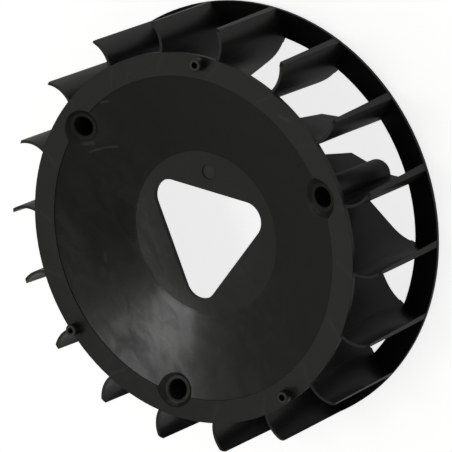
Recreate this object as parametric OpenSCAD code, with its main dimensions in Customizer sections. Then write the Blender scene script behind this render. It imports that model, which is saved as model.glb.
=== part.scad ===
// Centrifugal cooling impeller moulded in one piece.
// The axis is Z. The impeller stands on the inner edge of its shroud ring,
// and the dished face with the locating pegs looks up. All sizes are in mm.

/* [Disc and dish] */
// Diameter of the disc that carries the blades
disc_d = 168; // [166:0.5:174]
// Thickness of the disc and of the dish
disc_t = 2.1; // [1.8:0.1:2.6]
// Width of the rim around the dish
rim_w = 10.4; // [9.6:0.1:11.5]
// Rise of the rim from the dish to the disc edge
rim_rise = 0.75; // [0.5:0.05:1.2]
// Small step down from the rim into the dish
dish_step = 0.5; // [0.2:0.1:0.8]
// Depth of the dish from the disc edge to the hub plate
dish_depth = 14; // [11:0.5:15.5]
// Diameter of the flat hub plate at the bottom of the dish
hub_d = 74.6; // [70:0.2:80]
// Height from the shroud ring's resting edge to the disc edge
fan_depth = 53; // [48:0.5:59]

/* [Hub opening] */
// Distance from the axis to each straight side of the rounded triangle
opening_inradius = 19.9; // [17:0.1:21]
// Radius of the triangle's rounded corners
opening_corner_r = 8.5; // [6:0.1:10]
// Diameter of the round moulding mark beside the opening
mark_d = 7; // [5:0.2:9]
// Depth of the moulding mark
mark_depth = 0.4; // [0.2:0.1:0.8]

/* [Blades] */
// Number of blades
blade_count = 18; // [15:1:20]
// Turn of the blade ring about the axis, in degrees
blade_turn = 14.6; // [12:0.1:16]
// How far a blade reaches past the disc edge at the face
blade_reach = 13.5; // [11:0.1:15]
// How much further it reaches at the shroud ring
blade_flare = 1.3; // [0.8:0.1:2]
// Radius of a blade's bend outside the disc edge, at the middle of its thickness
bend_r = 14.4; // [13:0.1:16]
// Distance of that bend's centre outside the disc edge
bend_out = 5.2; // [4.5:0.1:6]
// Radius of the wider bend behind the disc
inner_bend_r = 24; // [20:0.5:28]
// Direction of a blade where the disc edge crosses it, in degrees from the line to the outer bend's centre
edge_lean = 20; // [18:0.5:24]
// Direction of the straight inner part of a blade, in degrees from the same line
blade_lean = 49; // [46:0.5:52]
// Blade thickness at the face, outside the disc
blade_face_t = 1.3; // [1.1:0.05:1.6]
// Blade thickness at the shroud ring, outside the disc
blade_ring_t = 2.4; // [2:0.05:2.8]
// Blade thickness behind the disc
blade_inner_t = 1.8; // [1.5:0.05:2.2]
// How far the blades run in behind the disc edge, at the resting plane
blade_run = 20.8; // [18:0.2:24]
// Slope of that inner edge towards the axis, in degrees
inlet_draft = 10.5; // [8:0.5:12]
// How far the blades' face edges lie below the disc edge
blade_drop = 0.2; // [0.1:0.05:0.4]
// Chamfer on the blade's outer corner at the face
blade_chamfer = 1; // [0.5:0.1:1.5]

/* [Shroud ring] */
// Gap between the disc edge and the ring's bore, seen along the axis
ring_gap = 1.9; // [1.5:0.1:2.4]
// Radial width of the ring
ring_w = 13; // [12:0.1:13.6]
// Thickness of the ring
ring_t = 1.7; // [1.4:0.1:2.2]
// Rise of the conical ring from its bore to its outer edge
ring_rise = 4; // [3:0.1:5]
// Width of the flat land at the bore on which the impeller rests
ring_land = 1.2; // [0.8:0.1:2]

/* [Bolt bosses] */
// Distance of each bolt hole's axis from the disc edge
bolt_inset = 11.4; // [10.5:0.1:13.5]
// Diameter of the bolt holes
bolt_hole_d = 9; // [8.4:0.1:9.4]
// Chamfer at the mouth of each bolt hole
bolt_chamfer = 0.4; // [0.3:0.1:0.6]
// Outside diameter of a boss at the seat
boss_d = 15; // [14.4:0.1:16]
// Outside diameter of a boss at its far end
boss_end_d = 12.6; // [12.5:0.1:14]
// Rounding of the boss's far end
boss_round = 1.5; // [1:0.1:1.6]
// Height of the boss's far end above the resting plane
boss_clear = 0.6; // [0.3:0.1:2]
// Depth of the bolt seat under the disc edge, at the middle of the hole
seat_depth = 3.7; // [3.3:0.1:4]
// Tilt of the seat towards the axis, in degrees
seat_tilt = 14; // [10:0.5:17]
// Diameter of the flat bolt seat
seat_d = 12.6; // [12:0.1:13.4]
// Widening of the seat's conical wall, in degrees from the hole's axis
seat_flare = 48; // [40:1:52]
// Diameter of the boss's collar under the rim
collar_d = 22; // [21:0.1:22.6]
// Height of that collar
collar_h = 5.5; // [5:0.1:7]

/* [Locating pegs] */
// Distance of each peg's axis from the disc edge
peg_inset = 3.3; // [3.1:0.1:3.5]
// Turn of the peg pattern past the bolt pattern, in degrees
peg_turn = 1.5; // [0:0.1:2]
// Outside diameter of a peg
peg_d = 5.7; // [5.2:0.1:6]
// Diameter of the blind hole in a peg
peg_hole_d = 2.9; // [2.5:0.1:3.1]
// Height of a peg above the disc edge
peg_h = 4.4; // [3.6:0.1:5.4]
// Chamfer around the peg's tip
peg_chamfer = 0.4; // [0.3:0.1:0.6]
// Diameter of the low flat foot that each peg stands on
foot_d = 6.5; // [6.3:0.1:6.5]
// Height of that foot above the disc edge
foot_h = 0.15; // [0.1:0.05:0.3]

/* [Hidden] */
$fn = 96;
overlap = 1;
corner_overlap = 0.02;
bolt_count = 3;
bolt_step = 360 / bolt_count;
first_bolt = -90;
peg_angles = [-30 + peg_turn, 105 + peg_turn, 195 + peg_turn];
mark_angle = -28;

disc_r = disc_d / 2;
dish_r = disc_r - rim_w;
hub_r = hub_d / 2;
hub_z = fan_depth - dish_depth;
rim_foot_z = fan_depth - rim_rise;
wall_foot_z = rim_foot_z - dish_step;
blade_top_z = fan_depth - blade_drop;

bend_centre_r = disc_r + bend_out;
bend_end_angle = 130;
bend_middle_angle = 110;
bend_tip_angle = 30;
wedge_r = bend_r * 3;
edge_cos = (disc_r * disc_r + bend_centre_r * bend_centre_r - bend_r * bend_r) / (2 * disc_r * bend_centre_r);
edge_crossing = disc_r * [edge_cos, -sqrt(1 - edge_cos * edge_cos)];
inner_centre = edge_crossing + inner_bend_r * [sin(edge_lean), cos(edge_lean)];
inlet_r = disc_r - blade_run;
plate_length = 2.2 * blade_run;
inlet_slope = tan(inlet_draft);

tip_r = disc_r + blade_reach;
ring_in_r = disc_r + ring_gap;
ring_out_r = ring_in_r + ring_w;

bolt_r = disc_r - bolt_inset;
collar_top_z = fan_depth - disc_t / 4;
collar_foot_z = collar_top_z - collar_h;
seat_z = fan_depth - seat_depth;
boss_h = collar_foot_z + overlap - boss_clear;

peg_r = disc_r - peg_inset;
peg_bore_depth = peg_h + disc_t / 2;

mark_r = (opening_inradius + hub_r) / 2;
corner_centre_r = 2 * (opening_inradius - opening_corner_r);

// Half section of all that lies under the face: rim, step, dish wall and hub plate
module under_face(drop = 0, edge_r = disc_r) {
    translate([0, -drop])
        polygon([
            [0, drop],
            [edge_r, drop],
            [edge_r, fan_depth + (edge_r - disc_r) * rim_rise / rim_w],
            [dish_r, rim_foot_z],
            [dish_r, wall_foot_z],
            [hub_r, hub_z],
            [0, hub_z]
        ]);
}

// Disc, dish and hub plate in one sheet, with the bolt bosses behind it.
// The face is cut last, so that the bosses' collars end flush with the dish.
module disc() {
    color("DimGray")
        difference() {
            union() {
                rotate_extrude($fn = 180)
                    difference() {
                        square([disc_r, fan_depth]);
                        under_face(disc_t, disc_r + overlap);
                    }
                bosses();
            }
            rotate_extrude($fn = 180)
                difference() {
                    square([disc_r + overlap, fan_depth + overlap]);
                    under_face();
                }
        }
}

// Sector of the plane around the bend's centre, from one angle round to another
module bend_sector(from_angle, to_angle) {
    mid_angle = (from_angle + to_angle) / 2;
    polygon([
        [0, 0],
        wedge_r * [cos(from_angle), sin(from_angle)],
        1.5 * wedge_r * [cos(mid_angle), sin(mid_angle)],
        wedge_r * [cos(to_angle), sin(to_angle)]
    ]);
}

// Bend outside the disc edge: two cones, so that the wall grows from the face to the ring
module outer_bend() {
    translate([bend_centre_r, 0, 0])
        difference() {
            cylinder(h = fan_depth, r1 = bend_r + blade_ring_t / 2, r2 = bend_r + blade_face_t / 2);
            translate([0, 0, -overlap])
                cylinder(h = fan_depth + 2 * overlap,
                         r1 = bend_r - blade_ring_t / 2,
                         r2 = bend_r - blade_face_t / 2);
            linear_extrude(3 * fan_depth, center = true)
                bend_sector(-bend_tip_angle, bend_middle_angle);
            linear_extrude(3 * fan_depth, center = true)
                bend_sector(bend_middle_angle - overlap, 360 - bend_end_angle);
        }
}

// Wider bend and straight part behind the disc, of even thickness.
// They are drawn along the straight part and then turned, so that the two meet on one line.
module inner_plate() {
    translate(inner_centre)
        rotate([0, 0, -90 - blade_lean])
            linear_extrude(fan_depth) {
                intersection() {
                    difference() {
                        circle(r = inner_bend_r + blade_inner_t / 2);
                        circle(r = inner_bend_r - blade_inner_t / 2);
                    }
                    square(2 * inner_bend_r);
                }
                translate([inner_bend_r - blade_inner_t / 2, -plate_length])
                    square([blade_inner_t, plate_length]);
            }
}

// Copies its child to every blade's place, with the local x axis through the outer bend's centre
module at_blades() {
    for (i = [0 : blade_count - 1])
        rotate([0, 0, blade_turn + i * 360 / blade_count])
            children();
}

// Half section that the blades fill outside the disc edge, down to the middle of the ring.
// It starts a little inside that edge, so that bend and inner plate grow into each other.
module outer_blade_section() {
    polygon([
        [disc_r - overlap, 0],
        [ring_in_r + overlap, 0],
        [ring_in_r + overlap, ring_t / 2],
        [tip_r + blade_flare, ring_rise + ring_t / 2],
        [tip_r, blade_top_z - blade_chamfer],
        [tip_r - blade_chamfer, blade_top_z],
        [disc_r, blade_top_z],
        [disc_r - overlap, blade_top_z - overlap / 2]
    ]);
}

// Half section that the blades fill behind the disc, with the sloping inlet edge
module inner_blade_section() {
    intersection() {
        under_face(disc_t / 2, disc_r + overlap);
        polygon([
            [inlet_r, 0],
            [disc_r, 0],
            [disc_r, fan_depth],
            [inlet_r - fan_depth * inlet_slope, fan_depth]
        ]);
    }
}

module blades() {
    color("DimGray") {
        intersection() {
            at_blades() outer_bend();
            rotate_extrude($fn = 180) outer_blade_section();
        }
        intersection() {
            at_blades() inner_plate();
            rotate_extrude($fn = 180) inner_blade_section();
        }
    }
}

// Conical shroud ring that ties the blades' far ends together
module shroud_ring() {
    color("DimGray")
        rotate_extrude($fn = 180)
            polygon([
                [ring_in_r, 0],
                [ring_in_r + ring_land, 0],
                [ring_out_r, ring_rise],
                [ring_out_r, ring_rise + ring_t],
                [ring_in_r, ring_t]
            ]);
}

// Copies its child to every bolt hole
module at_bolts() {
    for (i = [0 : bolt_count - 1])
        rotate([0, 0, first_bolt + i * bolt_step])
            translate([bolt_r, 0, 0])
                children();
}

// Tapered tube with a rounded far end
module boss_tube() {
    end_r = boss_end_d / 2;
    translate([0, 0, boss_clear])
        rotate_extrude() {
            polygon([
                [0, 0],
                [end_r - boss_round, 0],
                [end_r - boss_round, boss_round],
                [end_r, boss_round],
                [boss_d / 2, boss_h],
                [0, boss_h]
            ]);
            intersection() {
                translate([end_r - boss_round, boss_round])
                    circle(r = boss_round, $fn = 24);
                square([end_r, boss_round]);
            }
        }
}

// Collar that thickens the boss's root around the seat
module boss_collar() {
    translate([0, 0, collar_foot_z])
        cylinder(h = collar_h, d1 = boss_d - overlap / 2, d2 = collar_d);
}

module bosses() {
    at_bolts() {
        boss_tube();
        boss_collar();
    }
}

// Seat, bore and chamfer, taken out of every boss.
// Seat and chamfer tilt with the dish wall; the bore runs along the impeller's axis.
module bolt_cuts() {
    cone_h = seat_depth + overlap;
    at_bolts() {
        translate([0, 0, seat_z])
            rotate([0, -seat_tilt, 0]) {
                cylinder(h = cone_h, d1 = seat_d, d2 = seat_d + 2 * cone_h * tan(seat_flare));
                translate([0, 0, -bolt_chamfer])
                    cylinder(h = 2 * bolt_chamfer, d1 = bolt_hole_d, d2 = bolt_hole_d + 4 * bolt_chamfer);
            }
        translate([0, 0, -overlap])
            cylinder(h = fan_depth, d = bolt_hole_d);
    }
}

// Copies its child to every peg
module at_pegs() {
    for (angle = peg_angles)
        rotate([0, 0, angle])
            translate([peg_r, 0, fan_depth])
                children();
}

// Pegs on low flat feet, because the rim rises outward and has no flat place of its own
module pegs() {
    color("DimGray")
        at_pegs() {
            translate([0, 0, -disc_t / 2])
                cylinder(h = disc_t / 2 + foot_h, d = foot_d, $fn = 48);
            translate([0, 0, -disc_t / 2])
                cylinder(h = disc_t / 2 + peg_h - peg_chamfer, d = peg_d, $fn = 48);
            translate([0, 0, peg_h - peg_chamfer])
                cylinder(h = peg_chamfer, d1 = peg_d, d2 = peg_d - 2 * peg_chamfer, $fn = 48);
        }
}

module peg_bores() {
    at_pegs()
        translate([0, 0, peg_h - peg_bore_depth])
            cylinder(h = peg_bore_depth + overlap, d = peg_hole_d, $fn = 48);
}

// Rounded triangle through the hub plate, with its corners towards the bolt holes.
// Its sides end a trace inside the corner circles, so that line and circle always cross.
module hub_opening() {
    side_reach = opening_corner_r - corner_overlap;
    translate([0, 0, hub_z - disc_t - overlap])
        linear_extrude(disc_t + 2 * overlap) {
            polygon([
                for (i = [0 : bolt_count - 1])
                    for (side = [-1, 1])
                        let (corner = first_bolt + i * bolt_step)
                            corner_centre_r * [cos(corner), sin(corner)]
                            + side_reach * [cos(corner + side * 60), sin(corner + side * 60)]
            ]);
            for (i = [0 : bolt_count - 1])
                rotate(first_bolt + i * bolt_step)
                    translate([corner_centre_r, 0])
                        circle(r = opening_corner_r);
        }
}

// Shallow round mark left by the mould beside the opening
module moulding_mark() {
    rotate([0, 0, mark_angle])
        translate([mark_r, 0, hub_z - mark_depth])
            cylinder(h = mark_depth + overlap, d = mark_d, $fn = 48);
}

module impeller() {
    color("DimGray")
        difference() {
            union() {
                disc();
                blades();
                shroud_ring();
                pegs();
            }
            bolt_cuts();
            peg_bores();
            hub_opening();
            moulding_mark();
        }
}

impeller();
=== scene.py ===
# %% [markdown]
# A moulded fan impeller in black plastic.
# The real part is one moulding: a dished disc, a ring of curved blades and a
# shroud ring that ties the blades' far ends together. Its shape comes ready
# from the frame, so this lesson is about its skin: black plastic is never one
# flat black, and what tells the eye that it is plastic is how its sheen varies.

# %% Load the frame
import math

import bpy
import numpy as np
from mathutils import Matrix, Vector


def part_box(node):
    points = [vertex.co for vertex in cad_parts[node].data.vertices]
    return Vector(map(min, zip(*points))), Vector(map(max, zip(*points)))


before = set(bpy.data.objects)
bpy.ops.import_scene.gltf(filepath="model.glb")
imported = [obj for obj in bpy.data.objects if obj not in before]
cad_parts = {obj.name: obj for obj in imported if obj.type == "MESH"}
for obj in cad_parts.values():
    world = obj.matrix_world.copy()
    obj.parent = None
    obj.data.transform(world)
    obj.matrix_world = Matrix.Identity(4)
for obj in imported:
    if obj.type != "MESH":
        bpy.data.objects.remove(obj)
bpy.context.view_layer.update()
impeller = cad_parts["impeller"]
low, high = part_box("impeller")
print("impeller box in mm:", [round(1000 * v, 1) for v in (*low, *high)])

# %% [markdown]
# Everything that follows is measured in metres, in the frame's own axes. The
# impeller's axis is Z and it rests on the floor at zero, so a few heights and
# the blades' pitch are enough to say where each finish belongs.

# %% Sizes of the moulding
MM = 0.001
MIDDLE_Z = 52 * MM
RIM_FOOT_Z = 52 * MM
HUB_Z = 39 * MM
PEG_TIP_Z = 57.4 * MM
BLADE_COUNT = 18
BLADE_PITCH = 2 * math.pi / BLADE_COUNT
print("blades:", BLADE_COUNT, "one every", round(math.degrees(BLADE_PITCH), 1), "degrees")


def in_metres(values):
    """Those millimetres as a list in metres."""
    return [v * MM for v in values]



# %% [markdown]
# The camera looks at the dished face from above and to one side, through a
# long lens, and it is rolled, as a hand-held part is turned in front of the
# lens. Azimuth, elevation and roll are easier to read than a rotation matrix,
# so the matrix is built from them: first the direction from the aim to the
# camera, then the two picture axes, then the roll about the line of sight.

# %% Camera
CAMERA_AIM = Vector(in_metres((0.94, -21.87, 52.09)))
CAMERA_DISTANCE = 1.0599
CAMERA_AZIMUTH = math.radians(-85.42)
CAMERA_ELEVATION = math.radians(53.71)
CAMERA_ROLL = math.radians(-113.33)
CAMERA_LENS_MM = 194.13
CAMERA_SIGHT = 50


def add_camera():
    """Camera on a sphere around its aim, turned about its own line of sight."""
    back = Vector((math.cos(CAMERA_ELEVATION) * math.cos(CAMERA_AZIMUTH),
                   math.cos(CAMERA_ELEVATION) * math.sin(CAMERA_AZIMUTH),
                   math.sin(CAMERA_ELEVATION)))
    level_right = Vector((0, 0, 1)).cross(back).normalized()
    level_up = back.cross(level_right)
    right = math.cos(CAMERA_ROLL) * level_right + math.sin(CAMERA_ROLL) * level_up
    up = back.cross(right)
    turn = Matrix((right, up, back)).transposed().to_4x4()
    data = bpy.data.cameras.new("camera")
    data.lens = CAMERA_LENS_MM
    data.clip_end = CAMERA_SIGHT
    camera = bpy.data.objects.new("camera", data)
    bpy.context.scene.collection.objects.link(camera)
    camera.matrix_world = Matrix.Translation(CAMERA_AIM + CAMERA_DISTANCE * back) @ turn
    return camera


camera = add_camera()
bpy.context.scene.camera = camera
bpy.context.scene.view_settings.view_transform = "Standard"
print("camera at", [round(v, 3) for v in camera.matrix_world.translation])

# %% [markdown]
# Short helpers keep the node code readable. One adds a node and fills its
# sockets, one does sums, and another starts a group with plainly named sockets.

# %% Node helpers
COLUMN = 180
SOCKET_KINDS = {"float": "NodeSocketFloat", "vector": "NodeSocketVector"}


def fill(tree, socket, value):
    """Link the socket to another node's output, or set it to a number or vector."""
    if isinstance(value, bpy.types.NodeSocket):
        tree.links.new(value, socket)
    else:
        socket.default_value = value


def add_node(tree, kind, settings=None, **sockets):
    """A node of that kind, with its sockets filled by name."""
    node = tree.nodes.new(kind)
    node.location = (COLUMN * len(tree.nodes), 0)
    for name, value in (settings or {}).items():
        setattr(node, name, value)
    for name, value in sockets.items():
        fill(tree, node.inputs[name.replace("_", " ")], value)
    return node


def maths(tree, operation, *values):
    """Output of a Math node with those inputs."""
    node = add_node(tree, "ShaderNodeMath", {"operation": operation})
    for socket, value in zip(node.inputs, values):
        fill(tree, socket, value)
    return node.outputs[0]


def vector_maths(tree, operation, *values):
    """Vector output of a Vector Math node with those inputs."""
    node = add_node(tree, "ShaderNodeVectorMath", {"operation": operation})
    for socket, value in zip(node.inputs, values):
        fill(tree, socket, value)
    return node.outputs["Value" if operation in ("DOT_PRODUCT", "LENGTH", "DISTANCE") else "Vector"]


def ramp(tree, value, start, end, low=0.0, high=1.0):
    """Smooth step of a value: low at start, high at end, level beyond both."""
    node = add_node(tree, "ShaderNodeMapRange", {"interpolation_type": "SMOOTHSTEP"},
                    Value=value, From_Min=start, From_Max=end, To_Min=low, To_Max=high)
    return node.outputs[0]


def new_group(name, inputs, outputs):
    """Shader node group with those named sockets, and its two end nodes."""
    group = bpy.data.node_groups.new(name, "ShaderNodeTree")
    for socket_name, kind, value in inputs:
        socket = group.interface.new_socket(socket_name, in_out="INPUT",
                                            socket_type=SOCKET_KINDS[kind])
        if value is not None:
            socket.default_value = value
    for socket_name, kind in outputs:
        group.interface.new_socket(socket_name, in_out="OUTPUT", socket_type=SOCKET_KINDS[kind])
    inside = group.nodes.new("NodeGroupInput").outputs
    return group, inside, group.nodes.new("NodeGroupOutput").inputs


def place_group(tree, group, **sockets):
    """Outputs of that group as a node in a material, with its own values."""
    return add_node(tree, "ShaderNodeGroup", {"node_tree": group}, **sockets).outputs


# %% [markdown]
# Moulded plastic has two scales of surface. Up close there is a fine grain,
# left by the steel of the mould. Further away there are cloudy patches where
# the melt flowed and cooled at its own pace: they change the sheen far more
# than the colour. Each is a group, so that every finish can set its own depth.

# %% Grain and flow clouds
FINE_DETAIL, FINE_SHARE = 2.0, 0.4
COARSE_DETAIL = 3.0
CLOUD_DETAIL, CLOUD_ROUGHNESS = 5.0, 0.62


def grain_group():
    """Grain: two noises, one fine and one coarse, added as a height."""
    group, start, end = new_group(
        "mould grain",
        [("Place", "vector", None), ("Fine Size", "float", 0.35 * MM),
         ("Coarse Size", "float", 2.4 * MM)],
        [("Height", "float")])
    fine_scale = maths(group, "DIVIDE", 1.0, start["Fine Size"])
    coarse_scale = maths(group, "DIVIDE", 1.0, start["Coarse Size"])
    fine = add_node(group, "ShaderNodeTexNoise", Vector=start["Place"], Scale=fine_scale,
                    Detail=FINE_DETAIL)
    coarse = add_node(group, "ShaderNodeTexNoise", Vector=start["Place"], Scale=coarse_scale,
                      Detail=COARSE_DETAIL)
    fine_height = maths(group, "MULTIPLY", fine.outputs[0], FINE_SHARE)
    fill(group, end["Height"], maths(group, "ADD", fine_height, coarse.outputs[0]))
    return group


def cloud_group():
    """Clouds: noise bent by a second noise, its middle grey stretched to a mask from 0 to 1."""
    group, start, end = new_group(
        "flow clouds",
        [("Place", "vector", None), ("Size", "float", 22 * MM), ("Bend", "float", 1.2),
         ("Contrast", "float", 0.2)],
        [("Mask", "float")])
    scale = maths(group, "DIVIDE", 1.0, start["Size"])
    noise = add_node(group, "ShaderNodeTexNoise", Vector=start["Place"], Scale=scale,
                     Detail=CLOUD_DETAIL, Roughness=CLOUD_ROUGHNESS, Distortion=start["Bend"])
    low_edge = maths(group, "SUBTRACT", 0.5, start["Contrast"])
    high_edge = maths(group, "ADD", 0.5, start["Contrast"])
    fill(group, end["Mask"], ramp(group, noise.outputs[0], low_edge, high_edge))
    return group


grain = grain_group()
clouds = cloud_group()
print("groups:", grain.name, "and", clouds.name)

# %% [markdown]
# Two more groups put a mark where it is wanted. A soft spot fades out with the
# distance from its centre, measured in its own three half sizes, so it may be
# a long or a flat cloud. A line mark keeps near the line from one point to
# another: the place is projected on that line, and what is left over is the
# distance. It draws rub marks, the painted highlights in the bolt seats and the
# painted sheen of the sink streaks.

# %% Soft spots and scuffs
SPOT_CORE = 0.25


def spot_group():
    """Soft spot: 1 at the centre, 0 where the scaled distance from it is 1 or more."""
    group, start, end = new_group(
        "soft spot",
        [("Place", "vector", None), ("Centre", "vector", (0, 0, 0)), ("Size", "vector", (1, 1, 1))],
        [("Mask", "float")])
    away = vector_maths(group, "SUBTRACT", start["Place"], start["Centre"])
    scaled = vector_maths(group, "LENGTH", vector_maths(group, "DIVIDE", away, start["Size"]))
    fill(group, end["Mask"], ramp(group, scaled, SPOT_CORE, 1.0, 1.0, 0.0))
    return group


def line_mark_group():
    """Line mark: 1 on the stretch from Start to End, 0 at Half Width beside it."""
    group, start, end = new_group(
        "line_mark",
        [("Place", "vector", None), ("Start", "vector", (0, 0, 0)), ("End", "vector", (1, 0, 0)),
         ("Half Width", "float", 0.5 * MM)],
        [("Mask", "float")])
    along = vector_maths(group, "SUBTRACT", start["End"], start["Start"])
    away = vector_maths(group, "SUBTRACT", start["Place"], start["Start"])
    share = maths(group, "DIVIDE", vector_maths(group, "DOT_PRODUCT", away, along),
                  vector_maths(group, "DOT_PRODUCT", along, along))
    clamped = maths(group, "MINIMUM", maths(group, "MAXIMUM", share, 0.0), 1.0)
    nearest = add_node(group, "ShaderNodeVectorMath", {"operation": "SCALE"},
                       Vector=along, Scale=clamped)
    distance = vector_maths(group, "DISTANCE", away, nearest.outputs["Vector"])
    fill(group, end["Mask"], ramp(group, distance, 0.0, start["Half Width"], 1.0, 0.0))
    return group


spot = spot_group()
line_mark = line_mark_group()
print("groups:", spot.name, "and", line_mark.name)

# %% [markdown]
# Behind the rim each blade makes the wall thicker, so the plastic sinks a
# little there as it cools, and a faint streak lies across the rim over every
# blade. The sink is real, but its streak is painted sheen: a lighter grey in
# the colour stands in for the light that the sunken surface reflects. One
# streak is drawn, and the angle around the axis is folded into one blade's
# share of the circle, which repeats it for all the blades.

# %% Sink streaks
STREAK_AZIMUTH = math.radians(5)
STREAK_OUTER = in_metres((83.2, 0, 0))
STREAK_INNER = in_metres((75.6, 4.6, 0))
STREAK_HALF_WIDTH = 1.3 * MM
STREAK_FADE = 0.1 * MM


def streak_group():
    """Streaks of painted sheen: the place is turned back by whole blade pitches, then set against
    one line mark.
    """
    group, start, end = new_group("sink streaks", [("Place", "vector", None)], [("Mask", "float")])
    parts = add_node(group, "ShaderNodeSeparateXYZ", Vector=start["Place"]).outputs
    x_squared = maths(group, "MULTIPLY", parts["X"], parts["X"])
    y_squared = maths(group, "MULTIPLY", parts["Y"], parts["Y"])
    radius = maths(group, "SQRT", maths(group, "ADD", x_squared, y_squared))
    azimuth = maths(group, "ARCTAN2", parts["Y"], parts["X"])
    angle = maths(group, "SUBTRACT", azimuth, STREAK_AZIMUTH)
    turns = maths(group, "ROUND", maths(group, "DIVIDE", angle, BLADE_PITCH))
    folded = maths(group, "SUBTRACT", angle, maths(group, "MULTIPLY", turns, BLADE_PITCH))
    across = maths(group, "MULTIPLY", radius, maths(group, "COSINE", folded))
    beside = maths(group, "MULTIPLY", radius, maths(group, "SINE", folded))
    place = add_node(group, "ShaderNodeCombineXYZ", X=across, Y=beside, Z=0.0)
    streak = place_group(group, line_mark, Place=place.outputs[0], Start=STREAK_OUTER,
                         End=STREAK_INNER, Half_Width=STREAK_HALF_WIDTH)
    on_rim = ramp(group, parts["Z"], RIM_FOOT_Z, RIM_FOOT_Z + STREAK_FADE)
    fill(group, end["Mask"], maths(group, "MULTIPLY", streak["Mask"], on_rim))
    return group


streaks = streak_group()
print("streaks around the rim:", BLADE_COUNT)

# %% [markdown]
# The marks come as two short lists, in millimetres. The light lines are partly
# rub marks, where something hard rubbed the face, and partly painted
# highlights: the last three paint the glint on the wall of each bolt seat.
# Each has its two ends, a half width and a strength. The grey spots are partly
# haze, where hands, dust and the mould's own hot areas left the surface a
# little greyer, and partly painted reflection: the two on the left of the hub
# plate paint the lighter crescent there. Each has a centre, three half sizes
# and a strength.

# %% Marks on this part
RUBS_AND_SEAT_HIGHLIGHTS = (
    ((51.2, 38.1, 48.3), (50.8, 31.0, 46.8), 0.9, 0.55),
    ((50.8, 31.0, 46.8), (49.3, 25.0, 45.3), 0.8, 0.5),
    ((70.2, 20.7, 51.6), (69.4, 16.8, 51.0), 0.9, 0.4),
    ((78.4, 0.4, 52.6), (75.8, 1.8, 52.4), 0.7, 0.3),
    ((78.4, 0.4, 52.6), (75.4, -2.6, 52.4), 0.6, 0.2),
    ((38.6, -67.6, 52.4), (35.6, -71.6, 52.7), 1.2, 0.25),
    ((5.6, 52.9, 44.6), (2.0, 54.2, 44.9), 1.4, 0.25),
    ((-20.5, 48.8, 44.5), (-24.6, 46.1, 44.2), 1.3, 0.4),
    # The last three are painted highlights: the glint on the wall of each bolt seat.
    ((55.9, 39.4, 49.8), (54.2, 35.0, 48.9), 1.6, 0.5),
    ((-5.0, -68.4, 49.9), (-1.6, -66.4, 49.3), 1.8, 0.8),
    ((-68.8, 38.2, 51.5), (-66.8, 41.2, 51.5), 1.9, 0.5))
HAZE_AND_SHEEN_SPOTS = (
    ((25.2, -13.4, 38.6), (4.1, 4.1, 2), 0.9),
    ((-19, -13, 39), (6, 7, 2), 0.35),
    # The next two are painted reflection: the lighter crescent on the left of the hub plate.
    ((-2, 35, 39), (28, 13, 2.5), 0.6),
    ((-25, 27, 39), (10, 10, 2.5), 0.6),
    ((-2.5, 57.2, 46), (4, 3, 3), 0.5),
    ((-5.5, 53.2, 44.7), (3, 3, 3), 0.5),
    ((-34.7, 61.8, 50.9), (3.5, 2.5, 2), 1.2),
    ((-31, 65.5, 51.4), (10, 5, 2), 0.5),
    ((-34, 42, 46), (34, 26, 9), 0.6),
    ((14, 67, 50), (32, 13, 6), 0.55),
    ((-3, -66.6, 49.5), (6, 4, 4), 0.5),
    ((58, 30, 50), (16, 16, 6), 0.3))


def rubs_and_seat_highlights(tree, place):
    """Greatest of the line masks at each place, each with its own strength: rub marks and painted
    seat highlights.
    """
    total = 0.0
    for first, last, half_width, strength in RUBS_AND_SEAT_HIGHLIGHTS:
        mask = place_group(tree, line_mark, Place=place, Start=in_metres(first), End=in_metres(last),
                           Half_Width=half_width * MM)["Mask"]
        total = maths(tree, "MAXIMUM", total, maths(tree, "MULTIPLY", mask, strength))
    return total


def haze_and_sheen_spots(tree, place):
    """Sum of the soft spots, each with its own strength."""
    total = 0.0
    for centre, size, strength in HAZE_AND_SHEEN_SPOTS:
        mask = place_group(tree, spot, Place=place, Centre=in_metres(centre),
                           Size=in_metres(size))["Mask"]
        total = maths(tree, "MULTIPLY_ADD", mask, strength, total)
    return total


print("rub marks and seat highlights:", len(RUBS_AND_SEAT_HIGHLIGHTS), "haze and sheen spots:", len(HAZE_AND_SHEEN_SPOTS))

# %% [markdown]
# Where a place lies decides its finish. The left of the dish is worn, so the
# clouds are strong there and faint elsewhere; the smaller ones are stretched
# along the way the melt flowed. The rim, the hub plate, the pegs' tips and the
# bolt seats each have a mask of their own. All masks are made once and shared.

# %% Masks of the areas
WORN_CENTRE = in_metres((-25, 40, 48))
WORN_SIZE = in_metres((105, 100, 70))
WORN_LEAST = 0.2
FLOW_TURN = math.radians(-165)
FLOW_STRETCH = (2.0, 1.0, 1.0)
PATCH_SIZE, PATCH_BEND, PATCH_CONTRAST = 7 * MM, 0.7, 0.2
RIM_FADE = 0.3 * MM
HUB_FADE = (HUB_Z + 0.1 * MM, HUB_Z + 0.5 * MM)
TIP_FADE = 0.4 * MM
POLISHED_CENTRE = in_metres((-34, 30, 41))
POLISHED_SIZE = in_metres((27, 27, 18))
SEAT_AZIMUTHS = (-90, 30, 150)
SEAT_RADIUS = 72.6 * MM
SEAT_Z = 51 * MM
SEAT_SIZE = in_metres((9.5, 9.5, 9))


def bolt_seats(tree, place):
    """Greatest of three soft spots, one at each bolt seat."""
    total = 0.0
    for azimuth in SEAT_AZIMUTHS:
        turn = math.radians(azimuth)
        centre = (SEAT_RADIUS * math.cos(turn), SEAT_RADIUS * math.sin(turn), SEAT_Z)
        mask = place_group(tree, spot, Place=place, Centre=centre, Size=SEAT_SIZE)["Mask"]
        total = maths(tree, "MAXIMUM", total, mask)
    return total


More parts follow.
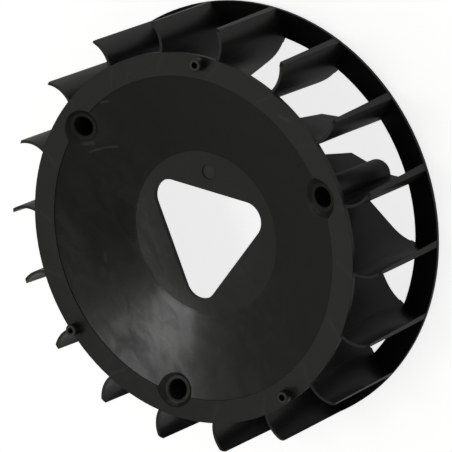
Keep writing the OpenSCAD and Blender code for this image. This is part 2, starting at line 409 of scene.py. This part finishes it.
def area_masks(tree, place):
    """Masks from 0 to 1 by name, for the areas and the clouds of the plastic."""
    height = add_node(tree, "ShaderNodeSeparateXYZ", Vector=place).outputs["Z"]
    worn = place_group(tree, spot, Place=place, Centre=WORN_CENTRE, Size=WORN_SIZE)["Mask"]
    worn = ramp(tree, worn, 0.0, 1.0, WORN_LEAST, 1.0)
    flow = add_node(tree, "ShaderNodeMapping", {"vector_type": "TEXTURE"}, Vector=place,
                    Rotation=(0, 0, FLOW_TURN), Scale=FLOW_STRETCH)
    patches = place_group(tree, clouds, Place=flow.outputs[0], Size=PATCH_SIZE,
                          Bend=PATCH_BEND, Contrast=PATCH_CONTRAST)["Mask"]
    wide_cloud = maths(tree, "MULTIPLY", place_group(tree, clouds, Place=place)["Mask"], worn)
    small_cloud = maths(tree, "MULTIPLY", patches, worn)
    at_seats = bolt_seats(tree, place)
    return {
        "patches": patches, "wide cloud": wide_cloud, "small cloud": small_cloud,
        "both clouds": maths(tree, "ADD", wide_cloud, small_cloud),
        "rim": ramp(tree, height, RIM_FOOT_Z, RIM_FOOT_Z + RIM_FADE),
        "hub": ramp(tree, height, *HUB_FADE, 1.0, 0.0),
        "peg tips": ramp(tree, height, PEG_TIP_Z - TIP_FADE, PEG_TIP_Z),
        "polished": place_group(tree, spot, Place=place, Centre=POLISHED_CENTRE,
                                Size=POLISHED_SIZE)["Mask"],
        "seats": at_seats, "off seats": ramp(tree, at_seats, 0.0, 1.0, 1.0, 0.0)}


print("polished spot at", [round(v / MM) for v in POLISHED_CENTRE], "mm")

# %% [markdown]
# The colour runs from black to grey with the sum of all that greys it: clouds,
# the grey spots, partly haze and partly painted reflection, the rim, the pegs'
# tips and the sink streaks, whose grey is painted sheen. On the rim the clouds
# work the other way, and the bolt seats stay black: a painted shade in these
# recesses. The light lines come last, broken up by the small patches as real
# rub marks are; the three in the bolt seats are painted highlights.

# %% Colour of the plastic
BLACK = (0.0112, 0.0112, 0.0104, 1)
GREYED = (0.060, 0.060, 0.056, 1)
RUB_AND_HIGHLIGHT_GREY = (0.13, 0.13, 0.125, 1)
CLOUD_GREY = 0.2
HAZE_AND_SHEEN_GREY = 0.75
RIM_GREY = 0.12
RIM_CLOUDS = (0.2, 1.4)
PEG_GREY = 0.9
STREAK_SHEEN = 0.25
MARK_LEAST = 0.45
RUB_AND_HIGHLIGHT_PATCHES = (0.0, 0.6)


def blend(tree, share, first, second):
    """Colour that goes from first to second with the share."""
    node = add_node(tree, "ShaderNodeMix", {"data_type": "RGBA"})
    fill(tree, node.inputs[0], share)
    fill(tree, node.inputs[6], first)
    fill(tree, node.inputs[7], second)
    return node.outputs[2]


def plastic_colour(tree, place, masks):
    """Black, greyed by the sum of the masks, with the scuffs on top."""
    mark_share = ramp(tree, masks["patches"], 0.0, 1.0, MARK_LEAST, 1.0)
    # Grey spots: partly haze, partly painted reflection on the hub plate's left.
    haze_and_sheen = maths(tree, "MULTIPLY", haze_and_sheen_spots(tree, place), mark_share)
    cloud_share = maths(tree, "MULTIPLY_ADD", masks["rim"], -CLOUD_GREY, CLOUD_GREY)
    rim_grey = ramp(tree, masks["both clouds"], *RIM_CLOUDS, RIM_GREY, 0.0)
    grey = maths(tree, "MULTIPLY", masks["both clouds"], cloud_share)
    grey = maths(tree, "MULTIPLY_ADD", haze_and_sheen, HAZE_AND_SHEEN_GREY, grey)
    grey = maths(tree, "MULTIPLY_ADD", masks["rim"], rim_grey, grey)
    grey = maths(tree, "MULTIPLY_ADD", masks["peg tips"], PEG_GREY, grey)
    # Painted sheen: the sink streaks lighten the grey where the rim sinks.
    sink_sheen_mask = place_group(tree, streaks, Place=place)["Mask"]
    grey = maths(tree, "MULTIPLY_ADD", sink_sheen_mask, STREAK_SHEEN, grey)
    # Painted shade: the greying is left out of the bolt seats, so these recesses stay darker.
    grey = maths(tree, "MULTIPLY", maths(tree, "MINIMUM", grey, 1.0), masks["off seats"])
    colour = blend(tree, grey, BLACK, GREYED)
    # The light lines: rub marks, and painted highlights on the bolt seats' walls.
    rub_and_highlight_share = ramp(tree, masks["patches"], *RUB_AND_HIGHLIGHT_PATCHES, MARK_LEAST, 1.0)
    rubs_and_highlights = maths(tree, "MULTIPLY", rubs_and_seat_highlights(tree, place), rub_and_highlight_share)
    return blend(tree, rubs_and_highlights, colour, RUB_AND_HIGHLIGHT_GREY)


print("greyed to", round(GREYED[0] / BLACK[0], 1), "times the black at most")

# %% [markdown]
# The sheen has two layers. The broad one is the roughness: a little smoother
# in the wide clouds, rougher in the seats and where clouds cross the flat rim
# and hub plate. The sharp one is the skin, a coat that the small clouds thin
# out, that is thickest at the polished spot and that is worn off in the seats.

# %% Sheen and skin
SHEEN_LOW, SHEEN_HIGH = 0.38, 0.30
SEAT_ROUGH = 0.4
FLAT_ROUGH = 0.13
SKIN_LOW, SKIN_HIGH, SKIN_POLISHED = 0.05, 0.32, 0.38


def plastic_roughness(tree, masks):
    """Roughness of the broad sheen."""
    sheen = ramp(tree, masks["wide cloud"], 0.0, 1.0, SHEEN_LOW, SHEEN_HIGH)
    flats = maths(tree, "MAXIMUM", masks["rim"], masks["hub"])
    clouded_flats = maths(tree, "MULTIPLY", masks["both clouds"], flats)
    sheen = maths(tree, "MULTIPLY_ADD", clouded_flats, FLAT_ROUGH, sheen)
    return maths(tree, "MULTIPLY_ADD", masks["seats"], SEAT_ROUGH, sheen)


def plastic_skin(tree, masks):
    """Weight of the sharp skin."""
    skin = ramp(tree, masks["small cloud"], 0.0, 1.0, SKIN_LOW, SKIN_HIGH)
    skin = maths(tree, "MULTIPLY_ADD", masks["polished"], SKIN_POLISHED, skin)
    return maths(tree, "MULTIPLY", skin, masks["off seats"])


print("roughness from", SHEEN_HIGH, "to", SHEEN_LOW, "before the seats and flats")

# %% [markdown]
# Now the parts come together. The grain roughens the normal, a Bevel node
# rounds the light over the sharp edges, and the colour, the roughness and the
# skin go to the shader. Plain numbers are set on the shader's own sockets.

# %% Black plastic
EDGE_ROUND = 0.3 * MM
EDGE_SAMPLES = 4
GRAIN_STRENGTH = 0.25
GRAIN_HEIGHT = 0.02 * MM
SKIN_ROUGHNESS = 0.1
PLASTIC_IOR = 1.5


def black_plastic():
    """Satin black plastic with clouds, marks, grain and soft edges."""
    material = bpy.data.materials.new("black_plastic")
    material.use_nodes = True
    tree = material.node_tree
    shader = tree.nodes["Principled BSDF"].inputs
    place = add_node(tree, "ShaderNodeTexCoord").outputs["Object"]
    masks = area_masks(tree, place)
    soft_edge = add_node(tree, "ShaderNodeBevel", {"samples": EDGE_SAMPLES}, Radius=EDGE_ROUND)
    bump = add_node(tree, "ShaderNodeBump", Strength=GRAIN_STRENGTH, Distance=GRAIN_HEIGHT,
                    Height=place_group(tree, grain, Place=place)["Height"],
                    Normal=soft_edge.outputs[0])
    fill(tree, shader["Base Color"], plastic_colour(tree, place, masks))
    fill(tree, shader["Roughness"], plastic_roughness(tree, masks))
    fill(tree, shader["Coat Weight"], plastic_skin(tree, masks))
    fill(tree, shader["Normal"], bump.outputs[0])
    shader["Coat Roughness"].default_value = SKIN_ROUGHNESS
    shader["IOR"].default_value = PLASTIC_IOR
    return material


plastic = black_plastic()
for place_in_node in impeller.material_slots:
    place_in_node.material = plastic
print("slots on the impeller:", len(impeller.material_slots))

# %% [markdown]
# The floor is a pale sheet much wider than the view. A photographer lights a
# white sheet from below so that shadows stay faint; here the sheet adds a
# little light of its own, for the camera and for what the plastic mirrors, but
# not for its dull colour, which would be lit from underneath.

# %% Floor
FLOOR_HALF = 4.0
FLOOR_GLOW = 0.8
FLOOR_GLOW_MIRRORED = 0.155
FLOOR_GREY = (0.8, 0.8, 0.8, 1)
FLOOR_ROUGHNESS = 0.9
FLOOR_SPECULAR = 0.1


def pale_floor():
    """Flat square floor under the impeller."""
    corners = FLOOR_HALF * np.array([(-1, -1, 0), (1, -1, 0), (1, 1, 0), (-1, 1, 0)])
    mesh = bpy.data.meshes.new("floor")
    mesh.from_pydata(corners.tolist(), [], [(0, 1, 2, 3)])
    floor = bpy.data.objects.new("floor", mesh)
    bpy.context.scene.collection.objects.link(floor)
    material = bpy.data.materials.new("pale_floor")
    material.use_nodes = True
    tree = material.node_tree
    shader = tree.nodes["Principled BSDF"].inputs
    shader["Base Color"].default_value = FLOOR_GREY
    shader["Roughness"].default_value = FLOOR_ROUGHNESS
    shader["Specular IOR Level"].default_value = FLOOR_SPECULAR
    shader["Emission Color"].default_value = (1, 1, 1, 1)
    path = add_node(tree, "ShaderNodeLightPath").outputs
    mirrored = maths(tree, "MULTIPLY", path["Is Glossy Ray"], FLOOR_GLOW_MIRRORED)
    glow = maths(tree, "MULTIPLY_ADD", path["Is Camera Ray"], FLOOR_GLOW, mirrored)
    fill(tree, shader["Emission Strength"], glow)
    mesh.materials.append(material)
    return floor


print("staged", pale_floor().name, "of", 2 * FLOOR_HALF, "m a side")

# %% [markdown]
# Each softbox is placed by the direction that it is seen in from the middle
# of the impeller. A glossy black part shows its lights more than its colour,
# so they are set by what each face mirrors: the key softbox is what the lower
# part of the dish mirrors, and its straight edge ends the bright patch there.
# The key is in three strips, side by side in one plane and each dimmer than
# the last, so that the bright patch fades out. The low one is what the flat
# rim and hub plate mirror, and a dark patch overhead darkens the dish's left.

# %% Lights
LIGHT_AIM = Vector((0, 0, MIDDLE_Z))
KEY_WAY = (0.333, 0.249, 0.909)
KEY_DISTANCE = 1.6
KEY_ROLL = math.radians(-33)
KEY_WIDTH = 0.58
KEY_ASIDE = 0.04
KEY_STRIPS = (("key softbox", 0.30, 1.42, 0.02),
              ("key fading softbox", 0.15, 0.50, 0.245),
              ("key faint softbox", 0.20, 0.42, 0.42))
LOW_WAY = (-0.069, 0.691, 0.720)
LOW_DISTANCE = 1.61
LOW_WIDTH, LOW_HEIGHT, LOW_WATTS = 0.50, 0.30, 0.42
WORLD_WARMTH = (1, 1, 0.93, 1)
WORLD_GLOW = 0.2
DARK_GLOW = 0.05
DARK_CEILING = (-0.12, 0.02, 0.99)
DARK_EDGES = (0.93, 0.985)


def softbox(name, direction, distance, width, height, watts, roll=0.0, aside=(0.0, 0.0)):
    """Rectangular area light that faces the impeller, rolled and then slid aside in its plane."""
    data = bpy.data.lights.new(name, "AREA")
    data.shape = "RECTANGLE"
    data.size = width
    data.size_y = height
    data.energy = watts
    light = bpy.data.objects.new(name, data)
    bpy.context.scene.collection.objects.link(light)
    away = Vector(direction).normalized()
    turn = away.to_track_quat("Z", "Y").to_matrix().to_4x4()
    light.matrix_world = (Matrix.Translation(LIGHT_AIM + distance * away) @ turn
                          @ Matrix.Rotation(roll, 4, "Z") @ Matrix.Translation((*aside, 0)))


def studio_world():
    """Soft even surroundings, with one darker patch overhead."""
    world = bpy.data.worlds.new("studio")
    world.use_nodes = True
    tree = world.node_tree
    background = tree.nodes["Background"].inputs
    background["Color"].default_value = WORLD_WARMTH
    sight = add_node(tree, "ShaderNodeTexCoord").outputs["Generated"]
    towards = vector_maths(tree, "DOT_PRODUCT", sight, DARK_CEILING)
    fill(tree, background["Strength"], ramp(tree, towards, *DARK_EDGES, WORLD_GLOW, DARK_GLOW))
    return world


for name, height, watts, slide in KEY_STRIPS:
    softbox(name, KEY_WAY, KEY_DISTANCE, KEY_WIDTH, height, watts, KEY_ROLL, (KEY_ASIDE, slide))
softbox("low softbox", LOW_WAY, LOW_DISTANCE, LOW_WIDTH, LOW_HEIGHT, LOW_WATTS)
bpy.context.scene.world = studio_world()
